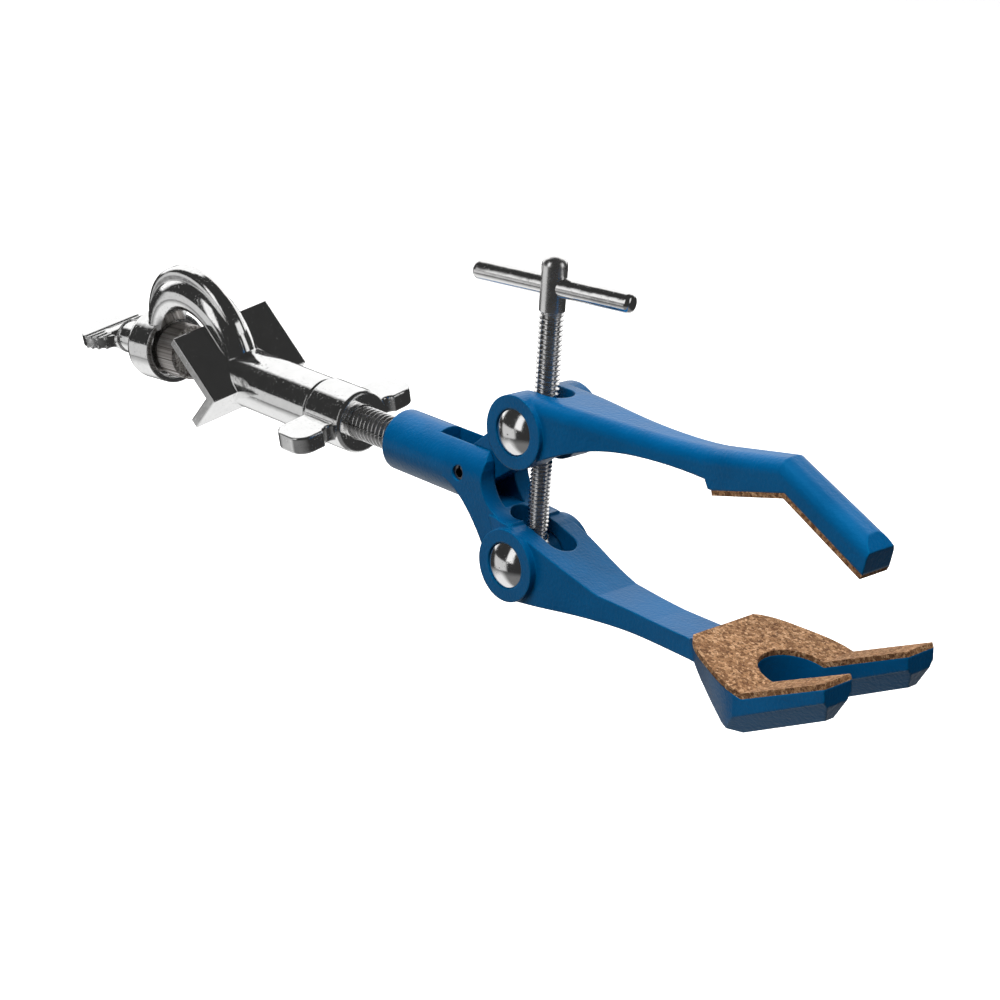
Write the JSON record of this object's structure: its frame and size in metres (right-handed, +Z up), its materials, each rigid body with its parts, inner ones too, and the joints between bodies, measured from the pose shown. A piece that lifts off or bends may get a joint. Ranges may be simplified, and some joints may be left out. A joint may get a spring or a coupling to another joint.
{
  "type": "three finger clamp",
  "caption": "Three finger laboratory clamp with cork-lined blue jaws, a T-screw that opens them, and a swivelling chromed hook connector for a support rod.",
  "frame": {"origin": "on the axis of a 12.7 mm support rod held in the vee, on the clamp's swivel axis", "axes": "+X along the clamp from the rod to the finger tips, +Z up along the T-screw, with the upper finger on top; the connector stands turned 11 degrees about X"},
  "size_m": [0.309, 0.0416, 0.091],
  "materials": {
    "blue_powder_coat": "satin",
    "chromed_casting": "polished",
    "plated_steel": "polished",
    "turned_steel": "brushed",
    "spring_steel": "satin",
    "cork": "matte"
  },
  "bodies": {
    "bosshead": {"bosshead": "chromed_casting"},
    "pressure_pad": {"pressure_pad": "turned_steel"},
    "thumb_screw": {"thumb_screw": "chromed_casting"},
    "clamp_body": {"swivel_rod": "plated_steel", "lower_jaw": "blue_powder_coat", "lower_cork_pad": "cork", "roll_pin": "spring_steel"},
    "wing_nut": {"wing_nut": "chromed_casting"},
    "lower_trunnion": {"lower_trunnion": "plated_steel"},
    "t_screw": {"t_screw": "plated_steel", "t_bar": "plated_steel"},
    "upper_jaw": {"upper_jaw": "blue_powder_coat", "upper_cork_pad": "cork"},
    "upper_trunnion": {"upper_trunnion": "plated_steel"}
  },
  "joints": [
    {"name": "clamp_swivel", "type": "hinge", "parent": "bosshead", "child": "clamp_body", "pos_m": [0.0431, 0, 0], "axis": [1, 0, 0], "continuous": true},
    {"name": "wing_nut_turn", "type": "hinge", "parent": "clamp_body", "child": "wing_nut", "pos_m": [0.0508, 0, 0], "axis": [1, 0, 0], "range_deg": [0, 720]},
    {"name": "pad_slide", "type": "slide", "parent": "bosshead", "child": "pressure_pad", "axis": [0.9962, -0.0166, 0.0856], "range_m": [-0.002, 0.0116]},
    {"name": "thumb_screw_turn", "type": "hinge", "parent": "pressure_pad", "child": "thumb_screw", "pos_m": [-0.0279, -0.00002, 0.0001], "axis": [0.9962, -0.0166, 0.0856], "range_deg": [-450, 2628]},
    {"name": "lower_trunnion_hinge", "type": "hinge", "parent": "clamp_body", "child": "lower_trunnion", "pos_m": [0.12747, 0, -0.01743], "axis": [0, -1, 0], "range_deg": [-11, 18.5]},
    {"name": "t_screw_turn", "type": "hinge", "parent": "lower_trunnion", "child": "t_screw", "pos_m": [0.12747, 0, -0.01743], "axis": [0.0157, 0, 0.9999], "range_deg": [-1110, 1940]},
    {"name": "upper_jaw_hinge", "type": "hinge", "parent": "clamp_body", "child": "upper_jaw", "pos_m": [0.10584, 0, 0.00065], "axis": [0, -1, 0], "range_deg": [-20.5, 35.5]},
    {"name": "upper_trunnion_hinge", "type": "hinge", "parent": "upper_jaw", "child": "upper_trunnion", "pos_m": [0.12802, 0, 0.01804], "axis": [0, -1, 0], "range_deg": [-18.5, 11]}
  ],
  "couplings": [
    {"joint": "pad_slide", "follows": "thumb_screw_turn", "m_per_rad": 0.00025266},
    {"joint": "upper_jaw_hinge", "follows": "t_screw_turn", "ratio": 0.018},
    {"joint": "lower_trunnion_hinge", "follows": "t_screw_turn", "ratio": 0.009},
    {"joint": "upper_trunnion_hinge", "follows": "t_screw_turn", "ratio": -0.009}
  ]
}
